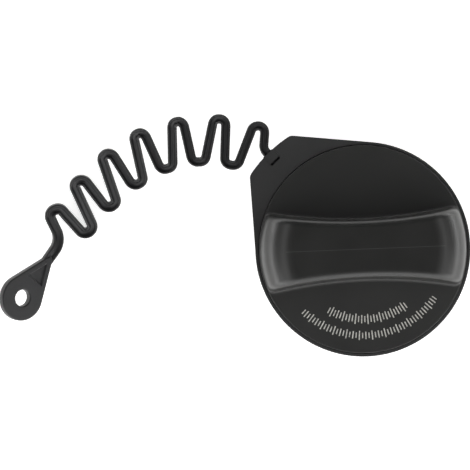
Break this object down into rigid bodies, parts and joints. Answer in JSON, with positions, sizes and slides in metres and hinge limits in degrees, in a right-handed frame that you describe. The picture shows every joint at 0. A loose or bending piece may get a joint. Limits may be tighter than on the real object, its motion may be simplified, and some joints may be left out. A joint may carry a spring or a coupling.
{
  "type": "fuel filler cap",
  "caption": "Round threaded fuel filler cap with a raised waisted grip bar, a turning tether ring with a tab, and a serpentine strap ending in an eyelet.",
  "frame": {"origin": "on the cap's axis, in the plane of the plug's bottom rim", "axes": "+Z along the cap's axis, from the plug to the grip; +X along the grip bar; the tether tab is between -X and +Y"},
  "size_m": [0.1836, 0.0953, 0.059],
  "materials": {
    "cover_plastic": "fine satin moulded texture",
    "ring_plastic": "fine satin moulded texture",
    "strap_plastic": "semi-matte flexible moulding",
    "plug_plastic": "smooth moulded",
    "valve_plastic": "smooth moulded, natural",
    "ratchet_plastic": "smooth moulded, natural",
    "slip_washer_plastic": "smooth waxy",
    "gasket_rubber": "matte moulded",
    "valve_rubber": "matte moulded",
    "spring_steel": "drawn and plated"
  },
  "bodies": {
    "plug": {"plug_body": "plug_plastic", "neck_gasket": "gasket_rubber", "thrust_washer": "slip_washer_plastic", "ratchet_ring": "ratchet_plastic", "valve_housing": "valve_plastic", "housing_o_ring": "valve_rubber", "valve_seat_plate": "valve_plastic", "pressure_spring": "spring_steel"},
    "handle": {"handle_cover": "cover_plastic", "cover_retainer_ring": "plug_plastic", "pawl_ring": "ratchet_plastic"},
    "tether": {"tether_ring": "ring_plastic", "tether_strap": "strap_plastic"},
    "pressure_valve": {"pressure_valve_plate": "valve_plastic", "pressure_valve_seal": "valve_rubber", "spring_seat_washer": "spring_steel", "vacuum_spring": "spring_steel"},
    "vacuum_valve": {"vacuum_poppet": "valve_plastic", "vacuum_seal": "valve_rubber", "vacuum_stem_clip": "spring_steel"}
  },
  "joints": [
    {"name": "handle_ratchet", "type": "hinge", "parent": "plug", "child": "handle", "pos_m": [0, 0, 0.0335], "axis": [0, 0, 1], "continuous": true},
    {"name": "tether_ring_spin", "type": "hinge", "parent": "plug", "child": "tether", "pos_m": [0, 0, 0.031], "axis": [0, 0, 1], "continuous": true},
    {"name": "pressure_valve_lift", "type": "slide", "parent": "plug", "child": "pressure_valve", "axis": [0, 0, 1], "range_m": [0, 0.0025], "stiffness_N_per_m": 300, "springref_m": -0.008, "deforming": ["pressure_spring"]},
    {"name": "vacuum_valve_drop", "type": "slide", "parent": "pressure_valve", "child": "vacuum_valve", "axis": [0, 0, -1], "range_m": [0, 0.0015], "stiffness_N_per_m": 60, "springref_m": -0.005, "deforming": ["vacuum_spring"]}
  ]
}
